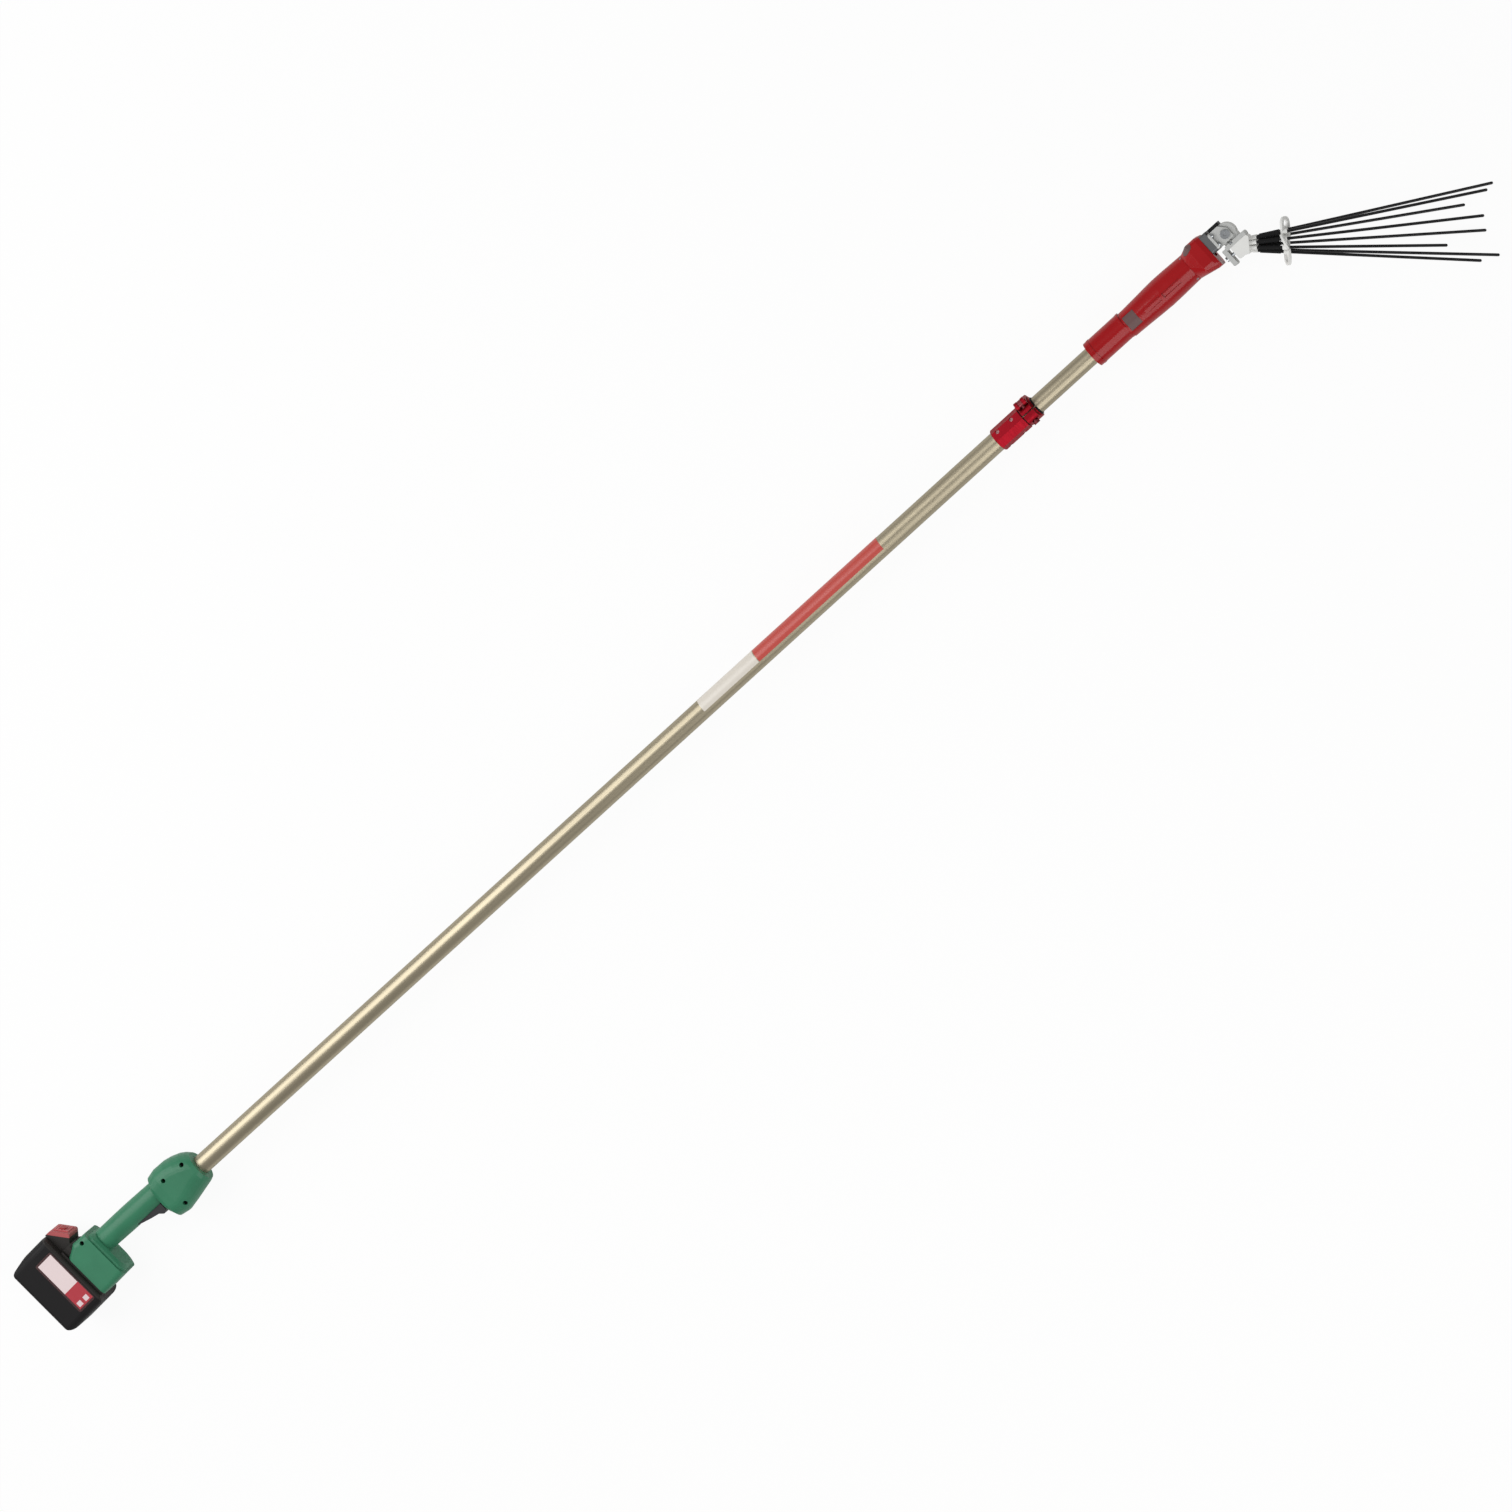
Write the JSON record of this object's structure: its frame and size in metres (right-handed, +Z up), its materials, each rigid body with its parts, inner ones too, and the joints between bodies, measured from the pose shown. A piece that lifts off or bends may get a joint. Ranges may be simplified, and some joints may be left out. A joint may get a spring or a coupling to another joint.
{
  "type": "cordless telescopic branch comb",
  "caption": "Cordless telescopic branch comb: battery handle, two-stage clamped pole and a motor head that swings a splayed fork of rods.",
  "frame": {"origin": "on the battery pack's outer end face, where the pole's axis meets it", "axes": "+X along the pole towards the fork, +Y towards the battery's release button, +Z up with the tool lying on its side"},
  "size_m": [2.358, 0.3123, 0.0937],
  "materials": {
    "green_shell": "satin",
    "gold_tube": "satin anodised",
    "red_housing": "gloss",
    "red_anodised": "anodised",
    "black_plastic": "matte",
    "dark_plastic": "matte",
    "button_red": "matte",
    "white_plastic": "matte",
    "steel": "satin",
    "cast_white": "satin",
    "board": "satin",
    "copper": "satin",
    "cell_wrap": "satin",
    "rubber": "matte",
    "wound_copper": "satin",
    "rod_black": "satin",
    "label_white": "matte",
    "grey_plastic": "matte",
    "plate_grey": "satin"
  },
  "bodies": {
    "handle": {"handle_shell_right": "green_shell", "handle_shell_left": "green_shell", "handle_screws": "steel", "trigger_pin": "steel", "trigger_spring": "steel", "switch_body": "black_plastic", "control_board": "board", "terminal_block": "dark_plastic", "contact_blades": "copper", "power_leads": "rubber", "tube_grommet": "rubber", "outer_tube": "gold_tube", "pole_label": "label_white", "clamp_body": "red_anodised", "clamp_set_screws": "steel", "slide_bush": "black_plastic", "clamp_bolt": "steel", "lever_pin": "steel", "coil_cable": "rubber"},
    "trigger": {"trigger": "dark_plastic"},
    "plunger": {"switch_plunger": "white_plastic"},
    "lever": {"clamp_lever": "red_anodised"},
    "battery": {"pack_case": "black_plastic", "pack_top": "black_plastic", "pack_label": "label_white", "battery_cells": "cell_wrap", "cell_holders": "dark_plastic", "bms_board": "board", "pack_contacts": "copper", "pack_screws": "steel", "latch_spring": "steel"},
    "button": {"release_button": "button_red"},
    "hook": {"latch_hook": "dark_plastic"},
    "inner_pole": {"inner_tube": "gold_tube", "guide_bush": "black_plastic", "head_cable": "rubber", "head_housing": "red_housing", "hatch_plate": "grey_plastic", "motor_can": "steel", "ring_gear": "steel", "output_bearing": "steel", "head_nose": "red_housing", "head_screws": "steel", "front_plate": "plate_grey", "clevis": "cast_white", "top_cover": "black_plastic", "pivot_pin": "steel"},
    "rotor": {"motor_rotor": "wound_copper", "sun_gear": "steel"},
    "carrier": {"planet_carrier": "steel"},
    "planet_a": {"planet_1": "steel"},
    "planet_b": {"planet_2": "steel"},
    "planet_c": {"planet_3": "steel"},
    "fork": {"rocker": "cast_white", "rod_block": "white_plastic", "rod_plate": "cast_white", "block_screws": "steel", "rods": "rod_black", "rod_sleeves": "rubber", "spreader": "white_plastic"}
  },
  "joints": [
    {"name": "pole_slide", "type": "slide", "parent": "handle", "child": "inner_pole", "axis": [1, 0, 0], "range_m": [-0.08, 0.76], "deforming": ["coil_cable"]},
    {"name": "clamp_lever", "type": "hinge", "parent": "handle", "child": "lever", "pos_m": [1.7481, 0.0148, 0.0179], "axis": [1, 0, 0], "range_deg": [0, 110]},
    {"name": "trigger", "type": "hinge", "parent": "handle", "child": "trigger", "pos_m": [0.169, 0.0025, 0], "axis": [0, 0, 1], "range_deg": [0, 8], "stiffness_Nm_per_rad": 1, "springref_deg": -5.73, "deforming": ["trigger_spring"]},
    {"name": "switch_plunger", "type": "slide", "parent": "handle", "child": "plunger", "axis": [0, 1, 0], "range_m": [0, 0.0045]},
    {"name": "pack_slide", "type": "slide", "parent": "handle", "child": "battery", "axis": [-0.0523, 0.9986, 0], "range_m": [0, 0.075]},
    {"name": "release_button", "type": "slide", "parent": "battery", "child": "button", "axis": [-0.755, -0.6557, 0], "range_m": [0, 0.003], "stiffness_N_per_m": 2000, "springref_m": -0.002, "deforming": ["latch_spring"]},
    {"name": "latch_hook", "type": "slide", "parent": "battery", "child": "hook", "axis": [-0.9986, -0.0523, 0], "range_m": [0, 0.003]},
    {"name": "rotor_spin", "type": "hinge", "parent": "inner_pole", "child": "rotor", "pos_m": [1.96, -0.0015, 0], "axis": [1, 0, 0], "continuous": true},
    {"name": "carrier_spin", "type": "hinge", "parent": "inner_pole", "child": "carrier", "pos_m": [2.02, -0.0015, 0], "axis": [1, 0, 0], "continuous": true},
    {"name": "planet_1_spin", "type": "hinge", "parent": "carrier", "child": "planet_a", "pos_m": [1.99, -0.0015, -0.0081], "axis": [1, 0, 0], "continuous": true},
    {"name": "planet_2_spin", "type": "hinge", "parent": "carrier", "child": "planet_b", "pos_m": [1.99, 0.00551, 0.00405], "axis": [1, 0, 0], "continuous": true},
    {"name": "planet_3_spin", "type": "hinge", "parent": "carrier", "child": "planet_c", "pos_m": [1.99, -0.00851, 0.00405], "axis": [1, 0, 0], "continuous": true},
    {"name": "fork_swing", "type": "hinge", "parent": "inner_pole", "child": "fork", "pos_m": [2.0751, 0, 0], "axis": [0, 0, 1], "range_deg": [-9, 9]}
  ],
  "couplings": [
    {"joint": "switch_plunger", "follows": "trigger", "m_per_rad": 0.029},
    {"joint": "latch_hook", "follows": "release_button", "ratio": 1},
    {"joint": "carrier_spin", "follows": "rotor_spin", "ratio": 0.16667},
    {"joint": "planet_1_spin", "follows": "rotor_spin", "ratio": -0.41667},
    {"joint": "planet_2_spin", "follows": "rotor_spin", "ratio": -0.41667},
    {"joint": "planet_3_spin", "follows": "rotor_spin", "ratio": -0.41667}
  ]
}
